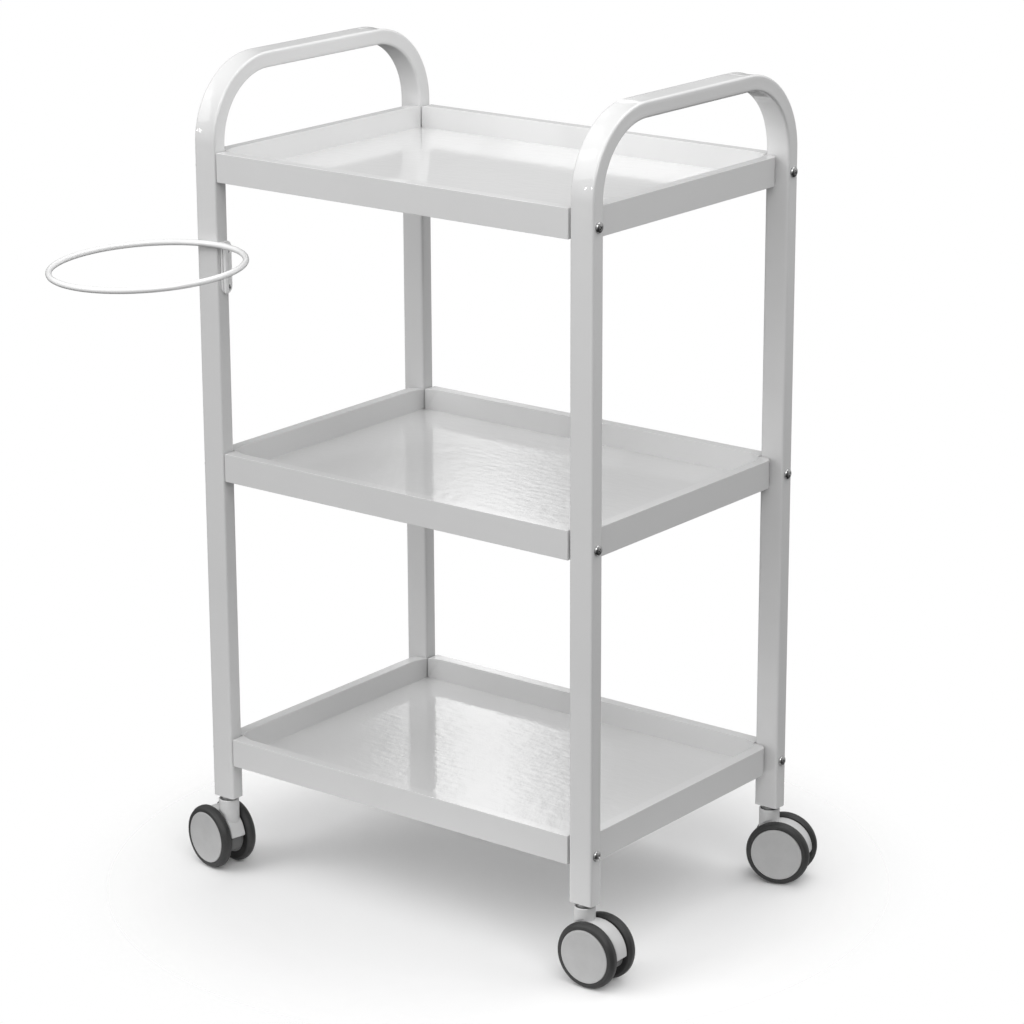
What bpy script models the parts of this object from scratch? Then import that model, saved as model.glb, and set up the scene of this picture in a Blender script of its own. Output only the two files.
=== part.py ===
"""Rolling salon trolley: two bent tube end frames, three folded sheet-metal
trays screwed between them, a wire ring holder on the front left leg and four
twin-wheel swivel casters.

Metres, +Z up. X runs along the long side of the trays (+X is the right end),
-Y is the front. The floor is Z = 0. The origin is the centre of the whole
trolley's box on the floor, ring and casters included.
"""
import bpy
import bmesh
import math
from mathutils import Matrix, Vector

for ob in list(bpy.data.objects):
    bpy.data.objects.remove(ob, do_unlink=True)

MM = 0.001
GAP = 0.3 * MM                      # clearance between neighbouring solids

# ---------------------------------------------------------------- dimensions
# the middle of the four legs, measured from the centre of the whole box
FOOT_X = 16.2 * MM
FOOT_Y = 79.74 * MM

# end frames: rectangular steel tube, 25 x 15, wall 1.2
TUBE_W = 25.0 * MM                  # along X
TUBE_D = 15.0 * MM                  # in the plane of the bend
TUBE_WALL = 1.2 * MM
TUBE_EDGE = 2.0 * MM                # chamfered edge of the tube
LEG_IN = 202.0 * MM                 # inner faces of the legs from the middle
FRAME_Y = 155.5 * MM                # outer faces of front and back legs
LEG_BOTTOM = 74.0 * MM
HANDLE_TOP = 788.0 * MM
BEND_OUTER = 77.5 * MM              # outer radius of the handle's bends
BEND_STEPS = 10

LEG_X = LEG_IN + TUBE_W / 2         # leg centre lines
LEG_Y = FRAME_Y - TUBE_D / 2

# trays: 1 mm sheet, folded into hollow walls open underneath
TRAY_RIM_Z = {"top": 705.0 * MM, "middle": 420.5 * MM, "bottom": 136.0 * MM}
SHEET = 1.0 * MM
WALL_HEIGHT = 27.0 * MM             # outer wall
TRAY_DEPTH = 20.5 * MM              # rim to floor
FLOOR_X = 201.5 * MM                # half the floor between the side walls
FLOOR_Y = 140.2 * MM                # half the floor between front and back walls
SIDE_OUT_X = 216.6 * MM             # outer faces of the side walls
LONG_END_X = 200.3 * MM             # ends of the front and back walls
SIDE_END_Y = 139.8 * MM             # ends of the side walls
SIDE_CORNER = 9.0 * MM              # rounded corner where a side wall meets a leg
LIP = 8.0 * MM                      # folded lip under the outer walls

# tray screws: M5 pan heads through the legs into the ends of the long walls
SCREW_BELOW_RIM = 14.5 * MM
SCREW_HEAD_R = 4.9 * MM
SCREW_HEAD_H = 3.2 * MM
SCREW_R = 2.4 * MM
SCREW_END_X = 192.0 * MM
SCREW_HOLE_R = 2.9 * MM

# ring holder on the inner face of the front left leg
RING_R = 88.5 * MM                  # to the middle of the wire
RING_WIRE_R = 2.8 * MM
RING_CENTRE = (-202.6 * MM, -247.4 * MM, 616.7 * MM)
RING_TILT_X = math.radians(2.47)
RING_TILT_Y = math.radians(-1.38)
PLATE_T = 1.5 * MM
PLATE_Y0 = -FRAME_Y + 3.5 * MM
PLATE_Y1 = -FRAME_Y + 17.5 * MM
PLATE_Z0 = 572.0 * MM
PLATE_Z1 = 622.0 * MM
STEM_R = 2.4 * MM
STEM_Y = -FRAME_Y + 6.2 * MM
STEM_BEND = 5.0 * MM
PLATE_SCREW_Y = -FRAME_Y + 12.0 * MM
PLATE_SCREW_Z = (578.0 * MM, 613.0 * MM)

# casters, in their own frame: swivel axis at the origin, trailing along +X
WHEEL_R = 31.1 * MM
TRAIL = 12.9 * MM
HOUSING_HALF = 8.0 * MM
HOOD_R = 28.0 * MM
NECK_R = 9.9 * MM
NECK_TOP = 71.0 * MM
RECESS_R = 8.2 * MM
RECESS_Z = 68.0 * MM
FLANGE_R = 7.6 * MM
SPINDLE_R = 3.4 * MM
SPINDLE_HOLE_R = 3.9 * MM
THREAD_R = 3.9 * MM
AXLE_R = 3.0 * MM
AXLE_HOLE_R = 3.35 * MM
WHEEL_SIDES = 24
# name: leg signs in X and Y, trailing direction in degrees from +X
CASTERS = {
    "front_left": (-1, -1, 169.0),
    "front_right": (1, -1, 1.0),
    "back_left": (-1, 1, 168.0),
    "back_right": (1, 1, 18.0),
}


# ---------------------------------------------------------------- materials
def material(name, colour, roughness, metallic):
    mat = bpy.data.materials.new(name)
    mat.use_nodes = True
    bsdf = mat.node_tree.nodes["Principled BSDF"]
    bsdf.inputs["Base Color"].default_value = (*colour, 1.0)
    bsdf.inputs["Roughness"].default_value = roughness
    bsdf.inputs["Metallic"].default_value = metallic
    mat.diffuse_color = (*colour, 1.0)
    return mat


LOOKS = {
    "frame": ((0.80, 0.80, 0.80), 0.22, 0.0),
    "tray": ((0.82, 0.82, 0.82), 0.25, 0.0),
    "wire": ((0.84, 0.84, 0.84), 0.28, 0.0),
    "screw": ((0.62, 0.62, 0.62), 0.20, 1.0),
    "plug": ((0.70, 0.70, 0.70), 0.50, 0.0),
    "stem": ((0.45, 0.45, 0.46), 0.35, 1.0),
    "housing": ((0.66, 0.66, 0.66), 0.40, 0.0),
    "hub": ((0.60, 0.60, 0.60), 0.38, 0.0),
    "tyre": ((0.10, 0.10, 0.105), 0.55, 0.0),
    "axle": ((0.50, 0.50, 0.50), 0.30, 1.0),
}


# ---------------------------------------------------------------- helpers
def empty(name, location, parent=None, turn_z=0.0):
    ob = bpy.data.objects.new(name, None)
    ob.location = location
    ob.rotation_euler = (0.0, 0.0, turn_z)
    ob.parent = parent
    bpy.context.scene.collection.objects.link(ob)
    return ob


def mesh_from(bm, name, smooth_angle=None):
    bmesh.ops.recalc_face_normals(bm, faces=bm.faces[:])
    me = bpy.data.meshes.new(name)
    bm.to_mesh(me)
    bm.free()
    if smooth_angle is not None:
        me.shade_smooth()
        me.set_sharp_from_angle(angle=math.radians(smooth_angle))
    return me


def place(name, mesh, look, parent, location=(0.0, 0.0, 0.0), rotation=(0.0, 0.0, 0.0)):
    ob = bpy.data.objects.new(name, mesh)
    ob.location = location
    ob.rotation_euler = rotation
    ob.parent = parent
    bpy.context.scene.collection.objects.link(ob)
    colour, roughness, metallic = LOOKS[look]
    mat = material(name, colour, roughness, metallic)
    ob.data.materials.clear()
    ob.data.materials.append(mat)
    return ob


def cutter(name, mesh, parent, location=(0.0, 0.0, 0.0)):
    ob = bpy.data.objects.new(name, mesh)
    ob.location = location
    ob.parent = parent
    ob.hide_render = True
    ob.display_type = "WIRE"
    bpy.context.scene.collection.objects.link(ob)
    return ob


def boolean(ob, other, operation="DIFFERENCE"):
    mod = ob.modifiers.new("bool_" + other.name, "BOOLEAN")
    mod.operation = operation
    mod.solver = "EXACT"
    mod.object = other
    return mod


def turned(profile, sides):
    """A closed (radius, height) outline spun round the Z axis."""
    bm = bmesh.new()
    verts = [bm.verts.new((r, 0.0, z)) for r, z in profile]
    edges = []
    for i, v in enumerate(verts):
        w = verts[(i + 1) % len(verts)]
        if v.co.x < 1e-9 and w.co.x < 1e-9:
            continue                              # this side lies on the axis
        edges.append(bm.edges.new((v, w)))
    bmesh.ops.spin(bm, geom=verts + edges, cent=(0, 0, 0), axis=(0, 0, 1),
                   angle=2 * math.pi, steps=sides, use_merge=True)
    bmesh.ops.remove_doubles(bm, verts=bm.verts[:], dist=1e-6)
    bmesh.ops.dissolve_degenerate(bm, edges=bm.edges[:], dist=1e-7)
    return bm


def prism(outline, height):
    """A flat outline in XY, extruded up Z from 0 to height."""
    bm = bmesh.new()
    face = bm.faces.new([bm.verts.new((x, y, 0.0)) for x, y in outline])
    out = bmesh.ops.extrude_face_region(bm, geom=[face])
    top = [g for g in out["geom"] if isinstance(g, bmesh.types.BMVert)]
    bmesh.ops.translate(bm, verts=top, vec=(0, 0, height))
    return bm


def rod(radius, length, sides, axis, start):
    """A plain cylinder from start, along axis."""
    bm = bmesh.new()
    bmesh.ops.create_cone(bm, cap_ends=True, segments=sides, radius1=radius,
                          radius2=radius, depth=length)
    direction = Vector(axis).normalized()
    turn = Vector((0, 0, 1)).rotation_difference(direction).to_matrix().to_4x4()
    middle = Vector(start) + direction * length / 2
    bmesh.ops.transform(bm, matrix=Matrix.Translation(middle) @ turn, verts=bm.verts[:])
    return bm


def join(parts):
    """Several closed shapes in one mesh, for a cutter."""
    whole = bmesh.new()
    for bm in parts:
        me = bpy.data.meshes.new("part")
        bm.to_mesh(me)
        bm.free()
        whole.from_mesh(me)
        bpy.data.meshes.remove(me)
    return whole


def chamfered_rectangle(w, d, edge):
    x, y = w / 2, d / 2
    return [(-x + edge, -y), (x - edge, -y), (x, -y + edge), (x, y - edge),
            (x - edge, y), (-x + edge, y), (-x, y - edge), (-x, -y + edge)]


trolley = empty("trolley", (FOOT_X, FOOT_Y, 0.0))


# ---------------------------------------------------------------- end frames
def end_frame_mesh():
    """An inverted U of hollow tube in the YZ plane, open at both feet."""
    bm = bmesh.new()
    outer = [bm.verts.new((x, y - LEG_Y, LEG_BOTTOM))
             for x, y in chamfered_rectangle(TUBE_W, TUBE_D, TUBE_EDGE)]
    inner = [bm.verts.new((x, y - LEG_Y, LEG_BOTTOM))
             for x, y in chamfered_rectangle(TUBE_W - 2 * TUBE_WALL,
                                             TUBE_D - 2 * TUBE_WALL,
                                             TUBE_EDGE - 0.6 * TUBE_WALL)]
    end = []
    for i in range(8):
        j = (i + 1) % 8
        end.append(bm.faces.new((outer[i], outer[j], inner[j], inner[i])))

    def drop_inner(faces):
        # an end face that now has tube on both sides of it
        inside = [f for f in faces if f.is_valid and any(len(e.link_faces) > 2 for e in f.edges)]
        bmesh.ops.delete(bm, geom=inside, context="FACES_ONLY")

    def run(faces, vector):
        out = bmesh.ops.extrude_face_region(bm, geom=faces)["geom"]
        moved = [g for g in out if isinstance(g, bmesh.types.BMVert)]
        bmesh.ops.translate(bm, verts=moved, vec=vector)
        drop_inner(faces)
        return [g for g in out if isinstance(g, bmesh.types.BMFace)]

    def bend(faces, centre):
        geom = set(faces)
        for f in faces:
            geom.update(f.edges)
            geom.update(f.verts)
        out = bmesh.ops.spin(bm, geom=list(geom), cent=centre, axis=(1, 0, 0),
                             angle=-math.pi / 2, steps=BEND_STEPS, use_merge=False)
        drop_inner(faces)
        return [g for g in out["geom_last"] if isinstance(g, bmesh.types.BMFace)]

    bend_z = HANDLE_TOP - BEND_OUTER
    bend_y = FRAME_Y - BEND_OUTER
    end = run(end, (0, 0, bend_z - LEG_BOTTOM))
    end = bend(end, (0, -bend_y, bend_z))
    end = run(end, (0, 2 * bend_y, 0))
    end = bend(end, (0, bend_y, bend_z))
    run(end, (0, 0, LEG_BOTTOM - bend_z))
    bmesh.ops.remove_doubles(bm, verts=bm.verts[:], dist=1e-6)
    return mesh_from(bm, "end_frame", 40)


frames = {}
for side, sx in (("left", -1), ("right", 1)):
    frame = place("end_frame_" + side, end_frame_mesh(), "frame", trolley, (sx * LEG_X, 0, 0))
    frames[side] = frame
    holes = [rod(SCREW_HOLE_R, TUBE_W + 10 * MM, 10, (1, 0, 0),
                 (-TUBE_W / 2 - 5 * MM, sy * LEG_Y, z - SCREW_BELOW_RIM))
             for sy in (-1, 1) for z in TRAY_RIM_Z.values()]
    if side == "left":
        # two small holes in the front leg's inner wall, for the ring holder
        holes += [rod(1.9 * MM, 8 * MM, 8, (1, 0, 0),
                      (TUBE_W / 2 - 4 * MM, PLATE_SCREW_Y, z)) for z in PLATE_SCREW_Z]
    drill = cutter("cut_frame_" + side, mesh_from(join(holes), "cut_frame_" + side),
                   trolley, (sx * LEG_X, 0, 0))
    boolean(frame, drill)


# ---------------------------------------------------------------- trays
def tray_mesh():
    """The pan's outer skin: a floor with a hollow wall along each side. Z = 0 is the rim."""
    bm = bmesh.new()
    made = {}

    def vert(x, y, z):
        key = (round(x, 7), round(y, 7), round(z, 7))
        if key not in made:
            made[key] = bm.verts.new(key)
        return made[key]

    def arc(cx, cy, r, a0, a1, steps):
        return [(cx + r * math.cos(math.radians(a0 + (a1 - a0) * i / steps)),
                 cy + r * math.sin(math.radians(a0 + (a1 - a0) * i / steps)))
                for i in range(steps + 1)]

    floor = []
    for quarter in range(4):
        # the outline of one wall seen from above, inner edge first
        if quarter % 2 == 0:
            half, inner, outer, corner = LONG_END_X, FLOOR_Y, FRAME_Y, 0.0
        else:
            half, inner, outer, corner = SIDE_END_Y, FLOOR_X, SIDE_OUT_X, SIDE_CORNER
        path = [(-half, -inner)]
        if corner:
            path += arc(-half + corner, -outer + corner, corner, 180, 270, 4)
            path += arc(half - corner, -outer + corner, corner, 270, 360, 4)
        else:
            path += [(-half, -outer), (half, -outer)]
        path += [(half, -inner)]
        turn = Matrix.Rotation(quarter * math.pi / 2, 2)
        path = [turn @ Vector(p) for p in path]
        rim = [vert(p.x, p.y, 0.0) for p in path]
        deep = [vert(p.x, p.y, -TRAY_DEPTH) for p in path]
        foot = [vert(p.x, p.y, -WALL_HEIGHT) for p in path]
        bm.faces.new(rim)
        for i in range(len(path) - 1):
            bm.faces.new((rim[i + 1], rim[i], deep[i], deep[i + 1]))
            bm.faces.new((deep[i + 1], deep[i], foot[i], foot[i + 1]))
        bm.faces.new((rim[0], rim[-1], deep[-1], deep[0]))
        # lip folded in under the outer wall, on its straight stretch
        back = turn @ Vector((0.0, LIP))
        a, b = (5, 6) if corner else (1, 2)
        inset = turn @ Vector((1.5 * MM, 0.0))
        lip = [vert(path[a].x, path[a].y, -WALL_HEIGHT), vert(path[b].x, path[b].y, -WALL_HEIGHT),
               vert(path[b].x + back.x - inset.x, path[b].y + back.y - inset.y, -WALL_HEIGHT),
               vert(path[a].x + back.x + inset.x, path[a].y + back.y + inset.y, -WALL_HEIGHT)]
        bm.faces.new(lip[::-1])
        floor += [deep[0], deep[-1]]
    bm.faces.new(floor)
    bmesh.ops.recalc_face_normals(bm, faces=bm.faces[:])
    # the floor's upper side is the outside of the skin
    bm.faces.ensure_lookup_table()
    if bm.faces[len(bm.faces) - 1].normal.z < 0:
        bmesh.ops.reverse_faces(bm, faces=bm.faces[:])
    me = bpy.data.meshes.new("tray")
    bm.to_mesh(me)
    bm.free()
    return me


for level, rim_z in TRAY_RIM_Z.items():
    tray = place("tray_" + level, tray_mesh(), "tray", trolley, (0, 0, rim_z))
    solid = tray.modifiers.new("sheet", "SOLIDIFY")
    solid.thickness = SHEET
    solid.offset = -1.0
    solid.use_even_offset = True
    drill = cutter("cut_tray_" + level,
                   mesh_from(join([rod(SCREW_HOLE_R, 8 * MM, 10, (sx, 0, 0),
                                       (sx * (LONG_END_X - 4 * MM), sy * LEG_Y, -SCREW_BELOW_RIM))
                                   for sx in (-1, 1) for sy in (-1, 1)]), "cut_tray_" + level),
                   trolley, (0, 0, rim_z))
    boolean(tray, drill)


# ---------------------------------------------------------------- screws
def pan_screw_mesh(head_r, head_h, shank_r, length, sides):
    """Domed head above Z = 0, shank below it."""
    profile = [(0, head_h), (0.62 * head_r, 0.84 * head_h), (head_r, 0.34 * head_h),
               (head_r, 0), (shank_r, 0), (shank_r, -length), (0, -length)]
    return mesh_from(turned(profile, sides), "pan_screw", 40)


shank = LEG_IN + TUBE_W + GAP - SCREW_END_X
for level, rim_z in TRAY_RIM_Z.items():
    for end, sx in (("left", -1), ("right", 1)):
        for row, sy in (("front", -1), ("back", 1)):
            mesh = pan_screw_mesh(SCREW_HEAD_R, SCREW_HEAD_H, SCREW_R, shank, 10)
            place("screw_%s_%s_%s" % (level, row, end), mesh, "screw", trolley,
                  (sx * (LEG_IN + TUBE_W + GAP), sy * LEG_Y, rim_z - SCREW_BELOW_RIM),
                  (0, sx * math.pi / 2, 0))


# ---------------------------------------------------------------- ring holder
def ring_mesh():
    bm = bmesh.new()
    circle = bmesh.ops.create_circle(bm, cap_ends=False, segments=8, radius=RING_WIRE_R)["verts"]
    stand = Matrix.Translation((RING_R, 0, 0)) @ Matrix.Rotation(math.pi / 2, 4, "X")
    bmesh.ops.transform(bm, matrix=stand, verts=circle)
    bmesh.ops.spin(bm, geom=bm.verts[:] + bm.edges[:], cent=(0, 0, 0), axis=(0, 0, 1),
                   angle=2 * math.pi, steps=48, use_merge=True)
    bmesh.ops.remove_doubles(bm, verts=bm.verts[:], dist=1e-6)
    return mesh_from(bm, "ring", 60)


place("ring_loop", ring_mesh(), "wire", trolley, RING_CENTRE, (RING_TILT_X, RING_TILT_Y, 0))

inner_face = -LEG_IN
plate_r = (PLATE_Y1 - PLATE_Y0) / 2
outline = []
for cz, a0 in ((PLATE_Z1 - plate_r, 0), (PLATE_Z0 + plate_r, 180)):
    for i in range(7):
        a = math.radians(a0 + 30 * i)
        outline.append(((PLATE_Y0 + PLATE_Y1) / 2 + plate_r * math.cos(a), cz + plate_r * math.sin(a)))
plate_bm = prism(outline, PLATE_T)
# the outline was drawn as (Y, Z): stand it up against the leg
bmesh.ops.transform(plate_bm, verts=plate_bm.verts[:], matrix=Matrix(
    ((0, 0, 1, inner_face + GAP), (1, 0, 0, 0), (0, 1, 0, 0), (0, 0, 0, 1))))
plate = place("ring_plate", mesh_from(plate_bm, "ring_plate", 30), "wire", trolley)
boolean(plate, cutter("cut_plate", mesh_from(join(
    [rod(1.9 * MM, 8 * MM, 8, (1, 0, 0), (inner_face - 3 * MM, PLATE_SCREW_Y, z))
     for z in PLATE_SCREW_Z]), "cut_plate"), trolley))

for tag, z in zip(("lower", "upper"), PLATE_SCREW_Z):
    mesh = pan_screw_mesh(2.5 * MM, 1.5 * MM, 1.5 * MM, 5.5 * MM, 8)
    place("ring_screw_" + tag, mesh, "screw", trolley,
          (inner_face + 2 * GAP + PLATE_T, PLATE_SCREW_Y, z), (0, math.pi / 2, 0))


def ring_height_at(x, y):
    """Height of the middle of the ring's wire plane at a place in plan."""
    normal = Matrix.Rotation(RING_TILT_Y, 3, "Y") @ Matrix.Rotation(RING_TILT_X, 3, "X") @ Vector((0, 0, 1))
    return RING_CENTRE[2] - (normal.x * (x - RING_CENTRE[0]) + normal.y * (y - RING_CENTRE[1])) / normal.z


stem_x = inner_face + 2 * GAP + PLATE_T + STEM_R
tip_y = RING_CENTRE[1] + math.sqrt(RING_R ** 2 - (stem_x - RING_CENTRE[0]) ** 2) + RING_WIRE_R + GAP
tip_z = ring_height_at(stem_x, tip_y)
stem_points = [(stem_x, STEM_Y, PLATE_Z0 + 2 * MM), (stem_x, STEM_Y, tip_z - STEM_BEND)]
for i in range(1, 7):
    a = math.radians(90 * i / 6)
    stem_points.append((stem_x, STEM_Y - STEM_BEND * (1 - math.cos(a)),
                        tip_z - STEM_BEND + STEM_BEND * math.sin(a)))
stem_points.append((stem_x, tip_y, tip_z))
curve = bpy.data.curves.new("ring_stem", "CURVE")
curve.dimensions = "3D"
curve.bevel_depth = STEM_R
curve.bevel_resolution = 2
curve.use_fill_caps = True
spline = curve.splines.new("POLY")
spline.points.add(len(stem_points) - 1)
for point, co in zip(spline.points, stem_points):
    point.co = (*co, 1.0)
place("ring_stem", curve, "wire", trolley)


# ---------------------------------------------------------------- casters
def plug_mesh():
    bm = prism(chamfered_rectangle(TUBE_W - 2 * TUBE_WALL - 2 * GAP,
                                   TUBE_D - 2 * TUBE_WALL - 2 * GAP, 1.4 * MM), 24 * MM)
    return mesh_from(bm, "plug")


def stem_mesh():
    """Threaded end above, round flange under the leg, spindle down in the neck."""
    profile = [(0, LEG_BOTTOM + 22 * MM), (0.8 * THREAD_R, LEG_BOTTOM + 22 * MM),
               (THREAD_R, LEG_BOTTOM + 21 * MM), (THREAD_R, LEG_BOTTOM - GAP),
               (FLANGE_R, LEG_BOTTOM - GAP), (FLANGE_R, RECESS_Z + GAP),
               (SPINDLE_R, RECESS_Z + GAP), (SPINDLE_R, 50 * MM), (0, 50 * MM)]
    return mesh_from(turned(profile, 12), "stem", 40)


def housing_outline():
    """Side view in XZ: the hood round the wheels' tops, the neck, the axle boss."""
    points = []
    a_start, a_end = -10.0, math.degrees(math.acos((NECK_R - 0.6 * MM - TRAIL) / HOOD_R))
    for i in range(11):
        a = math.radians(a_start + (a_end - a_start) * i / 10)
        points.append((TRAIL + HOOD_R * math.cos(a), WHEEL_R + HOOD_R * math.sin(a)))
    points.append((points[-1][0], 66 * MM))
    points.append((-NECK_R + 0.6 * MM, 66 * MM))
    points.append((-NECK_R + 0.6 * MM, 46 * MM))
    for i in range(6):
        a = math.radians(205 + 25 * i)
        points.append((TRAIL + 12 * MM * math.cos(a), WHEEL_R + 12 * MM * math.sin(a)))
    return points


def housing_parts():
    bm = prism(housing_outline(), 2 * HOUSING_HALF)
    # the outline was drawn as (X, Z): stand it up, centred on Y = 0
    bmesh.ops.transform(bm, verts=bm.verts[:], matrix=Matrix(
        ((1, 0, 0, 0), (0, 0, -1, HOUSING_HALF), (0, 1, 0, 0), (0, 0, 0, 1))))
    body = mesh_from(bm, "housing", 35)
    neck = mesh_from(turned([(0, NECK_TOP), (NECK_R - 0.8 * MM, NECK_TOP), (NECK_R, NECK_TOP - 0.8 * MM),
                             (NECK_R, 50 * MM), (0, 50 * MM)], 20), "neck")
    # clear of the wheels on both sides, clear of the stem, and of the axle
    clear = join([rod(WHEEL_R + 0.8 * MM, 8 * MM, 32, (0, s, 0), (TRAIL, s * (HOUSING_HALF + 0.2 * MM), WHEEL_R))
                  for s in (-1, 1)])
    bore = join([turned([(0, NECK_TOP + 3 * MM), (RECESS_R, NECK_TOP + 3 * MM), (RECESS_R, RECESS_Z),
                         (SPINDLE_HOLE_R, RECESS_Z), (SPINDLE_HOLE_R, 48.5 * MM), (0, 48.5 * MM)], 16),
                 rod(AXLE_HOLE_R, 2 * HOUSING_HALF + 6 * MM, 14, (0, 1, 0),
                     (TRAIL, -HOUSING_HALF - 3 * MM, WHEEL_R))])
    return body, neck, mesh_from(clear, "clear"), mesh_from(bore, "bore")


def wheel_meshes():
    """Tyre and hub of one wheel, axis Z; Z = 0 is the middle of the caster."""
    tyre = [(22.0, 9.6), (29.6, 9.6), (31.1, 11.4), (31.1, 16.6), (29.4, 19.0),
            (25.5, 19.5), (25.5, 17.4), (22.0, 17.4)]
    hub = [(0.0, 19.9), (25.2, 19.9), (25.2, 17.7), (21.7, 17.7), (21.7, 9.4),
           (3.4, 9.4), (3.4, 17.1), (0.0, 17.1)]
    return [mesh_from(turned([(r * MM, z * MM) for r, z in reversed(p)], WHEEL_SIDES), n, 40)
            for p, n in ((tyre, "tyre"), (hub, "hub"))]


for where, (sx, sy, trail_deg) in CASTERS.items():
    leg = (sx * LEG_X, sy * LEG_Y)
    name = "caster_" + where
    plug = place(name + "_plug", plug_mesh(), "plug", trolley, (leg[0], leg[1], LEG_BOTTOM + 0.5 * MM))
    boolean(plug, cutter("cut_plug_" + where,
                         mesh_from(rod(THREAD_R + 0.35 * MM, 40 * MM, 12, (0, 0, 1), (0, 0, -5 * MM)),
                                   "cut_plug"), trolley, (leg[0], leg[1], LEG_BOTTOM)))
    place(name + "_stem", stem_mesh(), "stem", trolley, (leg[0], leg[1], 0))

    swivel = empty(name + "_swivel", (leg[0], leg[1], 0), trolley, math.radians(trail_deg))
    body, neck, clear, bore = housing_parts()
    housing = place(name + "_housing", body, "housing", swivel)
    boolean(housing, cutter("add_neck_" + where, neck, swivel), "UNION")
    boolean(housing, cutter("cut_wheels_" + where, clear, swivel))
    boolean(housing, cutter("cut_bores_" + where, bore, swivel))
    place(name + "_axle", mesh_from(rod(AXLE_R, 33.4 * MM, 12, (0, 1, 0), (0, -16.7 * MM, 0)), "axle", 40),
          "axle", swivel, (TRAIL, 0, WHEEL_R))
    for side, turn in (("a", math.pi / 2), ("b", -math.pi / 2)):
        tyre, hub = wheel_meshes()
        # a quarter turn lays the wheel's axis along the axle: wheel a faces the caster's -Y, wheel b its +Y
        place("%s_hub_%s" % (name, side), hub, "hub", swivel, (TRAIL, 0, WHEEL_R), (turn, 0, 0))
        place("%s_tyre_%s" % (name, side), tyre, "tyre", swivel, (TRAIL, 0, WHEEL_R), (turn, 0, 0))
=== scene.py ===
import math
import random

import bmesh
import bpy
import numpy as np
from mathutils import Matrix, Vector


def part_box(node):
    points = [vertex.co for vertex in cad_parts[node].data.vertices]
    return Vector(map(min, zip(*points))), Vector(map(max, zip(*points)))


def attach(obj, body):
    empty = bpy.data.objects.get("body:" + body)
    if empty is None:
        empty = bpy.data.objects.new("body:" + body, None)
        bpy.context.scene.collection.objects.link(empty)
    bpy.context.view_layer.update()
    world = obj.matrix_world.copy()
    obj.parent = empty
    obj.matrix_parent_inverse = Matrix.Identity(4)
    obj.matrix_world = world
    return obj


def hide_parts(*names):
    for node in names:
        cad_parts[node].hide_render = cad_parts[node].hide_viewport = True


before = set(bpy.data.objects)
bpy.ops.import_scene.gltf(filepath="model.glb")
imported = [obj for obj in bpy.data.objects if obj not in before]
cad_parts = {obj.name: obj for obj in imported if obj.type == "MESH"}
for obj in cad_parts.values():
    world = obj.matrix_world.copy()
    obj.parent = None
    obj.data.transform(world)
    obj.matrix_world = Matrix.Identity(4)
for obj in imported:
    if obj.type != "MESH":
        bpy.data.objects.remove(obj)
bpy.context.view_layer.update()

# Rolling salon trolley: two bent tube end frames, three folded trays, a wire
# ring holder and four twin-wheel casters. Metres, the CAD model's own frame.
MM = 0.001
scene = bpy.context.scene
collection = scene.collection

# ------------------------------------------------------------ CAD dimensions
fl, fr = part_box("end_frame_left"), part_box("end_frame_right")
FOOT_X = (fl[0][0] + fr[1][0]) / 2
FOOT_Y = (fl[0][1] + fl[1][1]) / 2
TUBE_W = fl[1][0] - fl[0][0]
TUBE_D = 15.0 * MM
HANDLE_TOP = fl[1][2]
LEG_BOTTOM = fl[0][2]
FRAME_Y = (fl[1][1] - fl[0][1]) / 2
LEG_IN = (fr[1][0] - fl[0][0]) / 2 - TUBE_W
LEG_X = LEG_IN + TUBE_W / 2
LEG_Y = FRAME_Y - TUBE_D / 2
BEND_OUTER = 77.5 * MM
RIMS = {n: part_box("tray_" + n)[1][2] for n in ("top", "middle", "bottom")}
WALL_HEIGHT = 27.0 * MM
TRAY_DEPTH = 20.5 * MM
RIM_WIDTH = 10.5 * MM
RIM_FLARE = 14.0 * MM                            # the slanted wall closes on the leg over this length
FLOOR_X, FLOOR_Y = 201.5 * MM, 140.2 * MM
SIDE_OUT_X = 216.6 * MM
LONG_END_X, SIDE_END_Y = 200.3 * MM, 139.8 * MM
SIDE_CORNER = 9.0 * MM
SCREW_BELOW_RIM = 14.5 * MM
WHEEL_R = 31.1 * MM
TRAIL = 12.9 * MM
CASTERS = {"front_left": (-1, -1, 169.0), "front_right": (1, -1, 1.0),
           "back_left": (-1, 1, 168.0), "back_right": (1, 1, 18.0)}
RING_R, RING_WIRE_R = 88.5 * MM, 2.8 * MM
RING_CENTRE = Vector((FOOT_X - 202.6 * MM, FOOT_Y - 247.4 * MM, 616.7 * MM))
RING_TILT_X, RING_TILT_Y = math.radians(2.47), math.radians(-1.38)


# ---------------------------------------------------------------- node tools
def new_material(name):
    mat = bpy.data.materials.new(name)
    mat.use_nodes = True
    nt = mat.node_tree
    for n in list(nt.nodes):
        nt.nodes.remove(n)
    out = nt.nodes.new("ShaderNodeOutputMaterial")
    bsdf = nt.nodes.new("ShaderNodeBsdfPrincipled")
    nt.links.new(bsdf.outputs["BSDF"], out.inputs["Surface"])
    return mat, nt, bsdf


def coords(nt, scale=(1, 1, 1)):
    tc = nt.nodes.new("ShaderNodeTexCoord")
    mp = nt.nodes.new("ShaderNodeMapping")
    mp.inputs["Scale"].default_value = scale
    nt.links.new(tc.outputs["Object"], mp.inputs["Vector"])
    return mp.outputs["Vector"]


def noise(nt, vector, scale, detail=2.0, rough=0.5, distortion=0.0):
    n = nt.nodes.new("ShaderNodeTexNoise")
    n.inputs["Scale"].default_value = scale
    n.inputs["Detail"].default_value = detail
    n.inputs["Roughness"].default_value = rough
    n.inputs["Distortion"].default_value = distortion
    nt.links.new(vector, n.inputs["Vector"])
    return n.outputs["Fac"]


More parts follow.
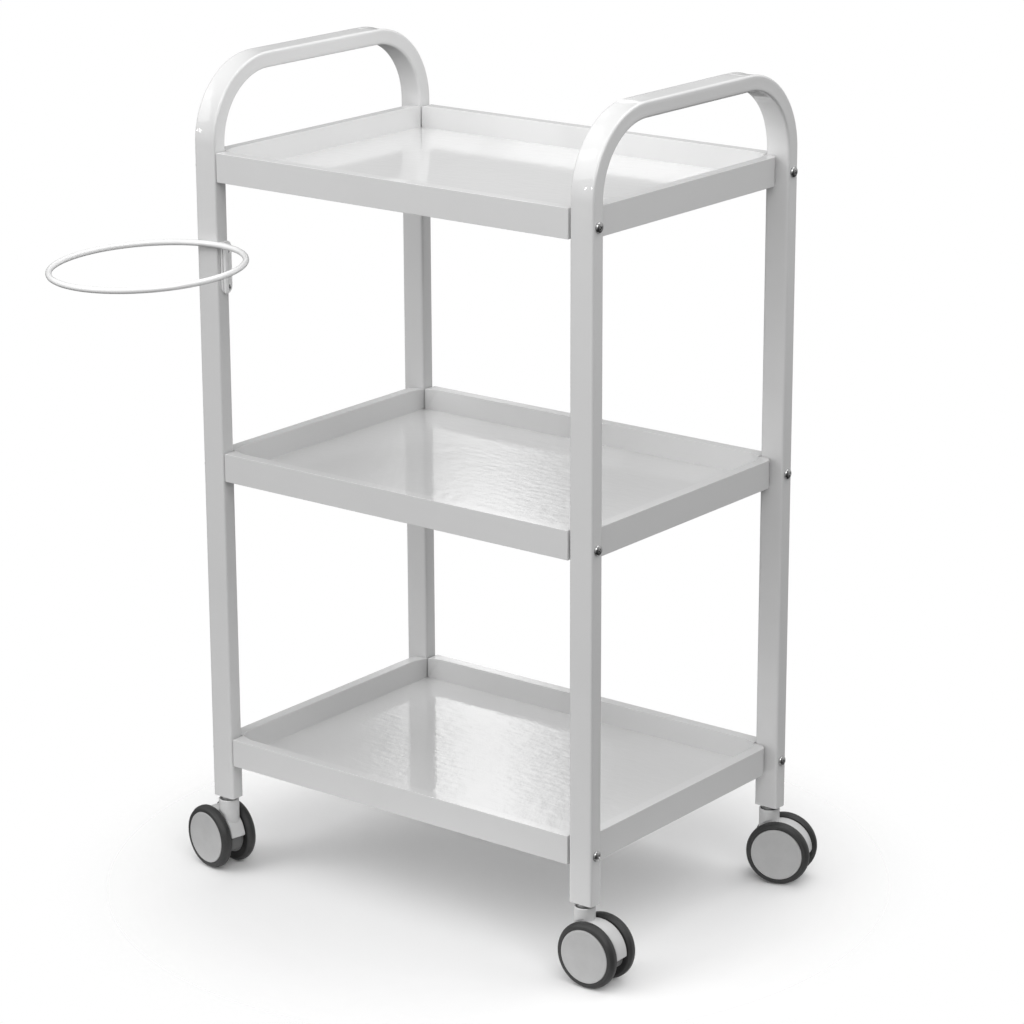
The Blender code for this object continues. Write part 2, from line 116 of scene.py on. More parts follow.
def ramp(nt, fac, stops):
    r = nt.nodes.new("ShaderNodeValToRGB")
    els = r.color_ramp.elements
    while len(els) < len(stops):
        els.new(0.5)
    for e, (pos, col) in zip(els, stops):
        e.position = pos
        e.color = (*col, 1.0) if len(col) == 3 else col
    nt.links.new(fac, r.inputs["Fac"])
    return r.outputs["Color"]


def grey(v):
    return (v, v, v)


def remap(nt, fac, lo, hi, a=0.15, b=0.85):
    m = nt.nodes.new("ShaderNodeMapRange")
    m.inputs["From Min"].default_value = a
    m.inputs["From Max"].default_value = b
    m.inputs["To Min"].default_value = lo
    m.inputs["To Max"].default_value = hi
    nt.links.new(fac, m.inputs["Value"])
    return m.outputs["Result"]


def bump(nt, height, strength, distance, normal=None):
    b = nt.nodes.new("ShaderNodeBump")
    b.inputs["Strength"].default_value = strength
    b.inputs["Distance"].default_value = distance
    nt.links.new(height, b.inputs["Height"])
    if normal is not None:
        nt.links.new(normal, b.inputs["Normal"])
    return b.outputs["Normal"]


def edge_highlight_mask(nt, radius):
    """1 on sharp outer edges, 0 on flats, from the shading normals; it masks the painted edge highlight."""
    geo = nt.nodes.new("ShaderNodeNewGeometry")
    bev = nt.nodes.new("ShaderNodeBevel")
    bev.samples = 4
    bev.inputs["Radius"].default_value = radius
    dot = nt.nodes.new("ShaderNodeVectorMath")
    dot.operation = "DOT_PRODUCT"
    nt.links.new(geo.outputs["Normal"], dot.inputs[0])
    nt.links.new(bev.outputs["Normal"], dot.inputs[1])
    return remap(nt, dot.outputs["Value"], 1.0, 0.0, 0.90, 1.0)


def mix_colour(nt, fac, a, b):
    m = nt.nodes.new("ShaderNodeMix")
    m.data_type = "RGBA"
    nt.links.new(fac, m.inputs["Factor"])
    for sock, v in ((m.inputs[6], a), (m.inputs[7], b)):
        if isinstance(v, tuple):
            sock.default_value = (*v, 1.0)
        else:
            nt.links.new(v, sock)
    return m.outputs[2]


# ---------------------------------------------------------------- materials
def paint(name, base, roughness, peel=0.35, coat=0.8, coat_roughness=0.05, ripple=0.0):
    """Sprayed gloss enamel: orange peel, uneven gloss, faint soiling, and a painted highlight on sharp edges."""
    mat, nt, bsdf = new_material(name)
    v = coords(nt)
    soft = noise(nt, v, 9.0, 3.0, 0.55)
    mottle = noise(nt, v, 55.0, 3.0, 0.6)
    fine = noise(nt, v, 520.0, 2.0, 0.5)
    peel_n = noise(nt, v, 170.0, 2.0, 0.5, 0.2)
    wave = noise(nt, v, 45.0, 1.0, 0.5)
    c = ramp(nt, soft, [(0.12, grey(base * 0.965)), (0.88, grey(base * 1.02))])
    c = mix_colour(nt, ramp(nt, mottle, [(0.10, grey(0.0)), (0.90, grey(0.40))]), c, grey(base * 0.955))
    # painted highlight: sharp outer edges are painted lighter than the flats, broken up by the mottle noise
    painted_edge_highlight = nt.nodes.new("ShaderNodeMath")
    painted_edge_highlight.operation = "MULTIPLY"
    nt.links.new(edge_highlight_mask(nt, 0.0007), painted_edge_highlight.inputs[0])
    nt.links.new(remap(nt, mottle, 0.1, 0.7, 0.35, 0.65), painted_edge_highlight.inputs[1])
    c = mix_colour(nt, painted_edge_highlight.outputs[0], c, grey(min(0.95, base * 1.12)))
    nt.links.new(c, bsdf.inputs["Base Color"])
    r = remap(nt, soft, roughness * 0.85, roughness * 1.25)
    nt.links.new(r, bsdf.inputs["Roughness"])
    n = bump(nt, peel_n, peel, 0.00012)
    n = bump(nt, wave, peel, 0.00016, n)
    n = bump(nt, fine, peel * 0.5, 0.00002, n)
    if ripple:
        long_v = coords(nt, (0.35, 1.0, 1.0))
        n = bump(nt, noise(nt, long_v, 150.0, 3.0, 0.55, 0.4), ripple, 0.00030, n)
    nt.links.new(n, bsdf.inputs["Normal"])
    nt.links.new(n, bsdf.inputs["Coat Normal"])
    bsdf.inputs["IOR"].default_value = 1.45
    bsdf.inputs["Specular IOR Level"].default_value = 0.35
    bsdf.inputs["Coat Weight"].default_value = coat
    bsdf.inputs["Coat IOR"].default_value = 1.52
    bsdf.inputs["Coat Roughness"].default_value = coat_roughness
    return mat


def plastic(name, base, roughness, grain=0.3):
    mat, nt, bsdf = new_material(name)
    v = coords(nt)
    soft = noise(nt, v, 60.0, 3.0, 0.6)
    fine = noise(nt, v, 1500.0, 2.0, 0.5)
    c = ramp(nt, soft, [(0.28, grey(base * 0.94)), (0.74, grey(base * 1.04))])
    nt.links.new(c, bsdf.inputs["Base Color"])
    nt.links.new(remap(nt, soft, roughness * 0.85, roughness * 1.2), bsdf.inputs["Roughness"])
    n = bump(nt, fine, grain, 0.00004)
    n = bump(nt, soft, grain, 0.0003, n)
    nt.links.new(n, bsdf.inputs["Normal"])
    bsdf.inputs["IOR"].default_value = 1.49
    return mat


def rubber(name, base, roughness):
    mat, nt, bsdf = new_material(name)
    v = coords(nt)
    soft = noise(nt, v, 70.0, 4.0, 0.6)
    fine = noise(nt, v, 1200.0, 3.0, 0.6)
    dust = noise(nt, v, 180.0, 3.0, 0.65)
    c = ramp(nt, soft, [(0.28, grey(base * 0.82)), (0.75, grey(base * 1.18))])
    dusty = ramp(nt, dust, [(0.55, grey(0.0)), (0.85, grey(0.5))])
    c = mix_colour(nt, dusty, c, grey(base * 1.9))
    nt.links.new(c, bsdf.inputs["Base Color"])
    nt.links.new(remap(nt, dust, roughness * 0.82, roughness * 1.2), bsdf.inputs["Roughness"])
    n = bump(nt, fine, 0.35, 0.00006)
    n = bump(nt, soft, 0.3, 0.0004, n)
    nt.links.new(n, bsdf.inputs["Normal"])
    bsdf.inputs["IOR"].default_value = 1.5
    return mat


def metal(name, base, roughness, turned=0.0):
    mat, nt, bsdf = new_material(name)
    v = coords(nt)
    soft = noise(nt, v, 350.0, 3.0, 0.6)
    c = ramp(nt, soft, [(0.3, grey(base * 0.8)), (0.7, grey(base * 1.08))])
    nt.links.new(c, bsdf.inputs["Base Color"])
    nt.links.new(remap(nt, soft, roughness * 0.7, roughness * 1.5), bsdf.inputs["Roughness"])
    n = bump(nt, noise(nt, v, 1100.0, 2.0, 0.5), 0.25 + turned, 0.00004)
    nt.links.new(n, bsdf.inputs["Normal"])
    bsdf.inputs["Metallic"].default_value = 1.0
    return mat


MAT = {
    "frame": paint("enamel_frame", 0.69, 0.30, 0.30),
    "tray": paint("enamel_tray", 0.69, 0.30, 0.30),
    "floor_pan": paint("enamel_tray_floor", 0.69, 0.30, 0.42, 0.95, 0.045, 0.45),
    "wire": paint("enamel_wire", 0.90, 0.32, 0.25),
    "screw": metal("plated_screw", 0.42, 0.20),
    "stem": metal("plated_stem", 0.30, 0.36, 0.2),
    "axle": metal("plated_axle", 0.50, 0.30, 0.2),
    "plug": plastic("plug_plastic", 0.62, 0.5),
    "housing": plastic("housing_plastic", 0.62, 0.36),
    "core": plastic("core_plastic", 0.12, 0.48),
    "hub": plastic("hub_plastic", 0.47, 0.40),
    "tyre": rubber("tyre_rubber", 0.027, 0.48),
}


# ---------------------------------------------------------------- mesh tools
def obj_from(name, bm_or_mesh, mats, sharp=35.0, matrix=None):
    if isinstance(bm_or_mesh, bmesh.types.BMesh):
        bmesh.ops.recalc_face_normals(bm_or_mesh, faces=bm_or_mesh.faces[:])
        me = bpy.data.meshes.new(name)
        bm_or_mesh.to_mesh(me)
        bm_or_mesh.free()
    else:
        me = bm_or_mesh
    ob = bpy.data.objects.new(name, me)
    collection.objects.link(ob)
    if not me.materials:
        for m in mats if isinstance(mats, (list, tuple)) else [mats]:
            me.materials.append(MAT[m])
    me.shade_smooth()
    if sharp:
        me.set_sharp_from_angle(angle=math.radians(sharp))
    if matrix is not None:
        ob.matrix_world = matrix
    return ob


def baked(ob, name, sharp=35.0):
    """The object's evaluated mesh; the working object goes away."""
    bpy.context.view_layer.update()
    me = bpy.data.meshes.new_from_object(ob.evaluated_get(bpy.context.evaluated_depsgraph_get()))
    me.name = name
    bpy.data.objects.remove(ob)
    me.shade_smooth()
    if sharp:
        me.set_sharp_from_angle(angle=math.radians(sharp))
    return me


def lathe(profile, sides):
    """Closed (radius, height) outline round Z."""
    bm = bmesh.new()
    rows = []
    for r, z in profile:
        if r < 1e-9:
            rows.append([bm.verts.new((0, 0, z))])
        else:
            rows.append([bm.verts.new((r * math.cos(2 * math.pi * k / sides),
                                       r * math.sin(2 * math.pi * k / sides), z)) for k in range(sides)])
    n = len(rows)
    for i in range(n):
        a, b = rows[i], rows[(i + 1) % n]
        if len(a) == 1 and len(b) == 1:
            continue
        for k in range(sides):
            j = (k + 1) % sides
            if len(a) == 1:
                bm.faces.new((a[0], b[j], b[k]))
            elif len(b) == 1:
                bm.faces.new((a[k], a[j], b[0]))
            else:
                bm.faces.new((a[k], a[j], b[j], b[k]))
    return bm


def fillet(points, radii, steps=5):
    """Rounds the corners of a closed outline; radii gives each corner's radius."""
    out = []
    n = len(points)
    for i in range(n):
        p0, p1, p2 = Vector(points[i - 1]), Vector(points[i]), Vector(points[(i + 1) % n])
        r = radii[i] if isinstance(radii, (list, tuple)) else radii
        if r <= 0:
            out.append(tuple(p1))
            continue
        d0, d2 = (p0 - p1), (p2 - p1)
        l0, l2 = d0.length, d2.length
        d0.normalize(); d2.normalize()
        ang = d0.angle(d2)
        if ang > math.radians(178):
            out.append(tuple(p1))
            continue
        t = r / math.tan(ang / 2)
        t = min(t, 0.49 * l0, 0.49 * l2)
        rr = t * math.tan(ang / 2)
        centre = p1 + (d0 + d2).normalized() * (rr / math.sin(ang / 2))
        a = p1 + d0 * t - centre
        b = p1 + d2 * t - centre
        turn = a.angle_signed(b)
        for k in range(steps + 1):
            f = turn * k / steps
            c, s = math.cos(f), math.sin(f)
            # angle_signed is positive clockwise
            out.append((centre.x + a.x * c + a.y * s, centre.y - a.x * s + a.y * c))
    return out


def cylinder(radius, length, sides, axis, start):
    bm = bmesh.new()
    bmesh.ops.create_cone(bm, cap_ends=True, segments=sides, radius1=radius, radius2=radius, depth=length)
    d = Vector(axis).normalized()
    turn = Vector((0, 0, 1)).rotation_difference(d).to_matrix().to_4x4()
    bmesh.ops.transform(bm, verts=bm.verts[:], matrix=Matrix.Translation(Vector(start) + d * length / 2) @ turn)
    return bm


def working(bm, name="work"):
    bmesh.ops.recalc_face_normals(bm, faces=bm.faces[:])
    me = bpy.data.meshes.new(name)
    bm.to_mesh(me)
    bm.free()
    ob = bpy.data.objects.new(name, me)
    collection.objects.link(ob)
    return ob


def carve(ob, other, operation="DIFFERENCE"):
    m = ob.modifiers.new("b", "BOOLEAN")
    m.operation = operation
    m.solver = "EXACT"
    m.object = other


def smoothstep(t):
    t = min(1.0, max(0.0, t))
    return t * t * (3 - 2 * t)


# ---------------------------------------------------------------- end frames
def tube_frame():
    """The whole inverted U, with the wide faces dished through the bends."""
    r_in = BEND_OUTER - TUBE_D / 2                 # centre line radius
    bend_z = HANDLE_TOP - BEND_OUTER
    bend_y = FRAME_Y - BEND_OUTER
    yc = LEG_Y
    stations = []                                  # (y, z, outward normal, in-bend 0..1, dent)
    straight = [LEG_BOTTOM, LEG_BOTTOM + 1 * MM] + list(np.linspace(LEG_BOTTOM + 30 * MM, bend_z - 14 * MM, 8)) \
        + [bend_z - 7 * MM, bend_z - 3 * MM]
    for z in straight:
        stations.append((-yc, z, (-1.0, 0.0), smoothstep((z - bend_z + 14 * MM) / (22 * MM)), 0.0))
    steps = 30
    for i in range(steps + 1):
        a = math.pi / 2 * i / steps
        edge = min(i, steps - i) / steps * r_in * math.pi / 2
        stations.append((-bend_y - r_in * math.cos(a), bend_z + r_in * math.sin(a),
                         (-math.cos(a), math.sin(a)), 0.55 + 0.45 * smoothstep(edge / (18 * MM)), 0.0))
    for y in list(np.linspace(-bend_y + 4 * MM, bend_y - 12 * MM, 16)) + \
            [bend_y - 10 * MM, bend_y - 8 * MM, bend_y - 6 * MM, bend_y - 4 * MM, bend_y - 3 * MM,
             bend_y - 2 * MM, bend_y - 1 * MM]:
        inside = 0.55 * max(smoothstep(1 - (y + bend_y) / (12 * MM)), smoothstep(1 - (bend_y - y) / (12 * MM)))
        dent = math.exp(-((y - bend_y + 5 * MM) / (1.6 * MM)) ** 2)
        stations.append((y, bend_z + r_in, (0.0, 1.0), inside, dent))
    for i in range(steps + 1):
        a = math.pi / 2 * (1 - i / steps)
        edge = min(i, steps - i) / steps * r_in * math.pi / 2
        arc = i / steps * r_in * math.pi / 2
        stations.append((bend_y + r_in * math.cos(a), bend_z + r_in * math.sin(a),
                         (math.cos(a), math.sin(a)), 0.55 + 0.45 * smoothstep(edge / (18 * MM)),
                         0.7 * math.exp(-((arc - 1.5 * MM) / (2.4 * MM)) ** 2)))
    for z in straight[::-1]:
        stations.append((yc, z, (1.0, 0.0), smoothstep((z - bend_z + 14 * MM) / (22 * MM)), 0.0))

    def profile(w, d, r, bend, dent):
        """(across, outward) points round the section."""
        pts = []
        hw, hd = w / 2, d / 2
        for cx, cy, a0 in ((hw - r, hd - r, 0), (-hw + r, hd - r, 90), (-hw + r, -hd + r, 180), (hw - r, -hd + r, 270)):
            for k in range(6):
                a = math.radians(a0 + 18 * k)
                pts.append((cx + r * math.cos(a), cy + r * math.sin(a)))
            # the face that follows this corner
            nxt = {0: ((hw - r, hd), (-hw + r, hd), 10), 90: ((-hw, hd - r), (-hw, -hd + r), 4),
                   180: ((-hw + r, -hd), (hw - r, -hd), 10), 270: ((hw, -hd + r), (hw, hd - r), 4)}[a0]
            (x0, y0), (x1, y1), n = nxt
            for k in range(1, n):
                t = k / n
                pts.append((x0 + (x1 - x0) * t, y0 + (y1 - y0) * t))
        out = []
        for u, v in pts:
            q = max(0.0, 1 - (u / (hw - r * 0.6)) ** 2)
            if v > hd - 0.4 * r:                      # outer wide face: pulled in by the bend
                v -= (0.85 * MM * bend * q + 0.55 * MM * dent * (0.35 + 0.65 * q))
            elif v < -hd + 0.4 * r:                   # inner wide face: slightly swollen
                v -= 0.25 * MM * bend * q
            p = max(0.0, 1 - (v / (hd - r * 0.6)) ** 2)
            if abs(u) > hw - 0.4 * r:                 # narrow faces: slightly hollow
                u -= math.copysign(0.18 * MM * bend * p, u)
            out.append((u, v))
        return out

    bm = bmesh.new()
    rings = []
    for y, z, (ny, nz), bend, dent in stations:
        rings.append([bm.verts.new((u, y + ny * v, z + nz * v)) for u, v in
                      profile(TUBE_W, TUBE_D, 2.3 * MM, bend, dent)])
    n = len(rings[0])
    for a, b in zip(rings, rings[1:]):
        for k in range(n):
            j = (k + 1) % n
            bm.faces.new((a[k], a[j], b[j], b[k]))
    # open feet: the wall turns in and runs up inside
    for ring, (y, z, nrm, _, _), up in ((rings[0], stations[0], 1), (rings[-1], stations[-1], 1)):
        last = ring
        for shrink, rise in ((0.25, -0.12), (0.95, -0.12), (1.2, 0.12), (1.2, 26.0)):
            wall = shrink * MM
            inner = [bm.verts.new((u, y + nrm[0] * v, LEG_BOTTOM + max(0.0, rise + 0.12) * MM + (0 if rise > 1 else 0)))
                     for u, v in profile(TUBE_W - 2 * wall, TUBE_D - 2 * wall, max(0.7 * MM, 2.3 * MM - wall), 0, 0)]
            for k in range(n):
                j = (k + 1) % n
                bm.faces.new((last[k], last[j], inner[j], inner[k]))
            last = inner
    return bm


for side, sx in (("left", -1), ("right", 1)):
    ob = obj_from("frame_tube_" + side, tube_frame(), "frame", 50,
                  Matrix.Translation((FOOT_X + sx * LEG_X, FOOT_Y, 0)))
    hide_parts("end_frame_" + side)
    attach(ob, "trolley")


# ---------------------------------------------------------------- trays
def tray_sheet():
    """The folded pan as one skin; the rim is at Z = 0."""
    bm = bmesh.new()
    made = {}

    def vert(p, z):
        key = (round(p[0], 6), round(p[1], 6), round(z, 6))
        if key not in made:
            made[key] = bm.verts.new((p[0], p[1], z))
        return made[key]

    def arc(cx, cy, r, a0, a1, n):
        return [(cx + r * math.cos(math.radians(a0 + (a1 - a0) * i / n)),
                 cy + r * math.sin(math.radians(a0 + (a1 - a0) * i / n))) for i in range(n + 1)]

    fold = []                                     # edges that get a bend radius
    floor = []
    for quarter in range(4):
        long_side = quarter % 2 == 0
        if long_side:
            half, inner, outer = LONG_END_X, FLOOR_Y, FRAME_Y
            path = [(-half, -inner), (-half, -outer), (half, -outer), (half, -inner)]
        else:
            half, inner, outer, c = SIDE_END_Y, FLOOR_X, SIDE_OUT_X, SIDE_CORNER
            path = [(-half, -inner)] + arc(-half + c, -outer + c, c, 180, 270, 10) \
                + arc(half - c, -outer + c, c, 270, 360, 10) + [(half, -inner)]
        turn = Matrix.Rotation(quarter * math.pi / 2, 2)
        path = [turn @ Vector(p) for p in path]
        out = turn @ Vector((0.0, -(outer - inner - RIM_WIDTH)))
        rim = [vert(p, 0.0) for p in path]
        along = (path[-1] - path[0]).normalized() * RIM_FLARE
        lean = [vert(path[0] + out + along, 0.0), vert(path[-1] + out - along, 0.0)]
        deep = [vert(p, -TRAY_DEPTH) for p in path]
        foot = [vert(p, -WALL_HEIGHT) for p in path]
        bm.faces.new(rim + lean[::-1])
        m = len(path)
        for i in range(m - 1):
            bm.faces.new((rim[i + 1], rim[i], deep[i], deep[i + 1]))
            bm.faces.new((deep[i + 1], deep[i], foot[i], foot[i + 1]))
            fold.append((rim[i], rim[i + 1]))
        if long_side:
            for i in (1, 2):
                fold.append((rim[i], deep[i]))
                fold.append((deep[i], foot[i]))
        bm.faces.new((lean[0], lean[1], deep[-1], deep[0]))
        bm.faces.new((rim[0], lean[0], deep[0]))
        bm.faces.new((lean[1], rim[-1], deep[-1]))
        fold += [(rim[0], lean[0]), (lean[0], lean[1]), (lean[1], rim[-1])]
        fold.append((deep[0], deep[-1]))
        a, b = (1, 2) if long_side else (11, 12)
        back = turn @ Vector((0.0, 8.0 * MM))
        inset = turn @ Vector((1.5 * MM, 0.0))
        lip = [foot[a], foot[b], vert(path[b] + back - inset, -WALL_HEIGHT), vert(path[a] + back + inset, -WALL_HEIGHT)]
        bm.faces.new(lip[::-1])
        fold.append((foot[a], foot[b]))
        floor += [deep[0], deep[-1]]
    pan = bm.faces.new(floor)
    pan.material_index = 1
    bmesh.ops.recalc_face_normals(bm, faces=bm.faces[:])
    if pan.normal.z < 0:
        bmesh.ops.reverse_faces(bm, faces=bm.faces[:])
    layer = bm.edges.layers.float.new("bevel_weight_edge")
    for a, b in fold:
        e = bm.edges.get((a, b))
        if e is not None:
            e[layer] = 1.0
    return bm, pan


def tray_mesh():
    bm, _ = tray_sheet()
    me = bpy.data.meshes.new("tray")
    bm.to_mesh(me)
    bm.free()
    ob = bpy.data.objects.new("tray_work", me)
    collection.objects.link(ob)
    me.materials.append(MAT["tray"])
    me.materials.append(MAT["floor_pan"])
    bev = ob.modifiers.new("fold", "BEVEL")
    bev.limit_method = "WEIGHT"
    bev.width = 1.7 * MM
    bev.segments = 4
    bev.use_clamp_overlap = True
    sol = ob.modifiers.new("sheet", "SOLIDIFY")
    sol.thickness = 1.0 * MM
    sol.offset = -1.0
    sol.use_even_offset = False
    cut = ob.modifiers.new("edge", "BEVEL")
    cut.limit_method = "ANGLE"
    cut.angle_limit = math.radians(70)
    cut.width = 0.22 * MM
    cut.segments = 2
    me.shade_smooth()
    flat = ob.modifiers.new("flat", "WEIGHTED_NORMAL")
    flat.mode = "FACE_AREA"
    flat.weight = 100
    return baked(ob, "tray", None)


tray_me = tray_mesh()
for level, z in RIMS.items():
    me = tray_me.copy()
    ob = obj_from("tray_%s_pan" % level, me, None, None, Matrix.Translation((FOOT_X, FOOT_Y, z)))
    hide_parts("tray_" + level)
    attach(ob, "trolley")


# ---------------------------------------------------------------- screws
def screw_head(head_r, head_h, slot_w, slot_l, slot_d):
    """Pan head with a cross recess; the seat is at Z = 0, the shank below."""
    prof = [(0, head_h)]
    for k in range(1, 9):                            # shallow dome
        t = k / 8
        prof.append((head_r * 0.97 * math.sin(t * math.pi / 2 * 0.92), head_h * (0.36 + 0.64 * math.cos(t * math.pi / 2 * 0.96))))
    prof += [(head_r, head_h * 0.30), (head_r, head_h * 0.10), (head_r * 0.97, 0),
             (head_r * 0.48, 0), (head_r * 0.48, -5 * MM), (0, -5 * MM)]
    ob = working(lathe(prof, 40), "screw")
    cutters = []
    for ang in (0, 90):
        bm = bmesh.new()
        bmesh.ops.create_cube(bm, size=1.0)
        for v in bm.verts:
            deep = v.co.z < 0
            v.co.x *= slot_l * (0.45 if deep else 1.0)
            v.co.y *= slot_w * (0.7 if deep else 1.0)
            v.co.z = head_h - slot_d if deep else head_h + 1 * MM
        bmesh.ops.rotate(bm, verts=bm.verts[:], cent=(0, 0, 0), matrix=Matrix.Rotation(math.radians(ang), 3, "Z"))
        cutters.append(working(bm, "slot"))
    for c in cutters:
        carve(ob, c)
    me = baked(ob, "screw_head", 28)
    for c in cutters:
        bpy.data.objects.remove(c)
    me.materials.clear()
    me.materials.append(MAT["screw"])
    return me


pan_me = screw_head(4.9 * MM, 3.2 * MM, 1.15 * MM, 5.6 * MM, 1.9 * MM)
rng = random.Random(4)
for level, z in RIMS.items():
    for end, sx in (("left", -1), ("right", 1)):
        for row, sy in (("front", -1), ("back", 1)):
            name = "screw_%s_%s_%s" % (level, row, end)
            m = Matrix.Translation((FOOT_X + sx * (LEG_IN + TUBE_W - 0.05 * MM), FOOT_Y + sy * LEG_Y, z - SCREW_BELOW_RIM)) \
                @ Matrix.Rotation(sx * math.pi / 2, 4, "Y") @ Matrix.Rotation(rng.uniform(0, math.pi / 2), 4, "Z")
            ob = obj_from(name + "_head", pan_me.copy(), "screw", 28, m)
            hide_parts(name)
            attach(ob, "trolley")


# ---------------------------------------------------------------- ring holder
def ring_loop():
    bm = bmesh.new()
    n, m = 144, 16
    rows = []
    for i in range(n):
        a = 2 * math.pi * i / n
        # the wire's butt weld, at the back by the stem
        weld = math.exp(-((a - math.radians(80)) / math.radians(1.6)) ** 2)
        r = RING_WIRE_R * (1 + 0.10 * weld)
        rows.append([bm.verts.new(((RING_R + r * math.cos(b)) * math.cos(a),
                                   (RING_R + r * math.cos(b)) * math.sin(a), r * math.sin(b)))
                     for b in (2 * math.pi * j / m for j in range(m))])
    for i in range(n):
        a, b = rows[i], rows[(i + 1) % n]
        for j in range(m):
            k = (j + 1) % m
            bm.faces.new((a[j], b[j], b[k], a[k]))
    return bm


ring_turn = Matrix.Rotation(RING_TILT_Y, 4, "Y") @ Matrix.Rotation(RING_TILT_X, 4, "X")
ring = obj_from("ring_wire", ring_loop(), "wire", None, Matrix.Translation(RING_CENTRE) @ ring_turn)
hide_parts("ring_loop")
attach(ring, "trolley")

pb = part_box("ring_plate")
plate_r = (pb[1][1] - pb[0][1]) / 2
plate_y = (pb[1][1] + pb[0][1]) / 2
bm = bmesh.new()
outline = []
for cz, a0 in ((pb[1][2] - plate_r, 0), (pb[0][2] + plate_r, 180)):
    for i in range(17):
        a = math.radians(a0 + 180 * i / 16)
        outline.append((plate_y + plate_r * math.cos(a), cz + plate_r * math.sin(a)))
face = bm.faces.new([bm.verts.new((pb[0][0], y, z)) for y, z in outline])
top = [g for g in bmesh.ops.extrude_face_region(bm, geom=[face])["geom"] if isinstance(g, bmesh.types.BMVert)]
bmesh.ops.translate(bm, verts=top, vec=(pb[1][0] - pb[0][0], 0, 0))
plate = obj_from("ring_plate_flat", bm, "wire", 30)
bev = plate.modifiers.new("edge", "BEVEL")
bev.width = 0.5 * MM
bev.segments = 3
bev.limit_method = "ANGLE"
bev.angle_limit = math.radians(60)
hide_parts("ring_plate")
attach(plate, "trolley")

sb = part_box("ring_stem")
stem_r = (sb[1][0] - sb[0][0]) / 2
stem_x = (sb[1][0] + sb[0][0]) / 2
stem_y = sb[1][1] - stem_r
tip_z = sb[1][2] - stem_r
curve = bpy.data.curves.new("ring_stem_rod", "CURVE")
curve.dimensions = "3D"
curve.bevel_depth = stem_r
curve.bevel_resolution = 5
curve.use_fill_caps = True
pts = [(stem_x, stem_y, sb[0][2]), (stem_x, stem_y, sb[0][2] + 2 * MM), (stem_x, stem_y, tip_z - 5 * MM)]
for i in range(1, 11):
    a = math.radians(9 * i)
    pts.append((stem_x, stem_y - 5 * MM * (1 - math.cos(a)), tip_z - 5 * MM + 5 * MM * math.sin(a)))
pts.append((stem_x, sb[0][1] - 0.8 * MM, tip_z))
spl = curve.splines.new("POLY")
spl.points.add(len(pts) - 1)
for p, co in zip(spl.points, pts):
    p.co = (*co, 1)
spl.points[0].radius = 0.72
curve.materials.append(MAT["wire"])
rod = bpy.data.objects.new("ring_stem_rod", curve)
collection.objects.link(rod)
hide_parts("ring_stem")
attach(rod, "trolley")

small_me = screw_head(2.5 * MM, 1.6 * MM, 0.7 * MM, 3.0 * MM, 1.0 * MM)
for tag in ("lower", "upper"):
    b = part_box("ring_screw_" + tag)
    m = Matrix.Translation((pb[1][0], (b[0][1] + b[1][1]) / 2, (b[0][2] + b[1][2]) / 2)) \
        @ Matrix.Rotation(math.pi / 2, 4, "Y") @ Matrix.Rotation(0.5, 4, "Z")
    ob = obj_from("ring_screw_%s_head" % tag, small_me.copy(), "screw", 28, m)
    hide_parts("ring_screw_" + tag)
    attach(ob, "trolley")


# ---------------------------------------------------------------- casters
def tyre_mesh():
    """Soft rounded tyre; Z is the wheel's axis, Z = 0 the middle of the caster."""
    outline = [(21.9, 9.4), (28.4, 9.4), (31.1, 11.6), (31.1, 15.8), (29.0, 19.4), (25.6, 19.75),
               (25.35, 19.3), (25.35, 17.5), (21.9, 17.5)]
    radii = [0, 1.2, 2.6, 4.2, 2.2, 0.35, 0, 0, 0]
    prof = [(r * MM, z * MM) for r, z in fillet(outline, radii, 6)]
    return lathe(prof[::-1], 96)


def hub_mesh():
    """Wheel disc with a flat cover, a shallow dish and a rounded rim."""
    outline = [(0.0, 19.55), (3.2, 19.55), (4.2, 19.62), (21.5, 19.72), (23.2, 19.95), (25.1, 19.75), (25.15, 17.8), (21.6, 17.8), (21.6, 9.6),
               (17.5, 9.6), (16.0, 12.4), (7.4, 12.4), (6.6, 9.3), (3.3, 9.3), (3.3, 17.0), (0.0, 17.0)]
    radii = [0, 0.6, 0.6, 1.2, 0.8, 0.45, 0, 0, 0.3, 0.5, 1.0, 1.0, 0.4, 0.2, 0, 0]
    prof = [(max(0.0, r) * MM, z * MM) for r, z in fillet(outline, radii, 4)]
    return lathe(prof[::-1], 96)


def hood_mesh():
    """Light grey hood over the wheels' tops, from the neck's foot round to the trailing side."""
    pts = []
    for i in range(61):
        a = math.radians(-4 + 177 * i / 60)
        pts.append((TRAIL + 28.2 * MM * math.cos(a), WHEEL_R + 28.2 * MM * math.sin(a)))
    for i in range(31):
        a = math.radians(173 - 177 * i / 30)
        pts.append((TRAIL + 22.5 * MM * math.cos(a), WHEEL_R + 22.5 * MM * math.sin(a)))
    bm = bmesh.new()
    face = bm.faces.new([bm.verts.new((x, 8.0 * MM, z)) for x, z in pts])
    top = [g for g in bmesh.ops.extrude_face_region(bm, geom=[face])["geom"] if isinstance(g, bmesh.types.BMVert)]
    bmesh.ops.translate(bm, verts=top, vec=(0, -16 * MM, 0))
    hood = working(bm, "hood")
    bev = hood.modifiers.new("round", "BEVEL")
    bev.width = 1.6 * MM
    bev.segments = 4
    bev.limit_method = "ANGLE"
    bev.angle_limit = math.radians(50)
    me = baked(hood, "caster_hood", 30)
    me.materials.clear()
    me.materials.append(MAT["housing"])
    return me


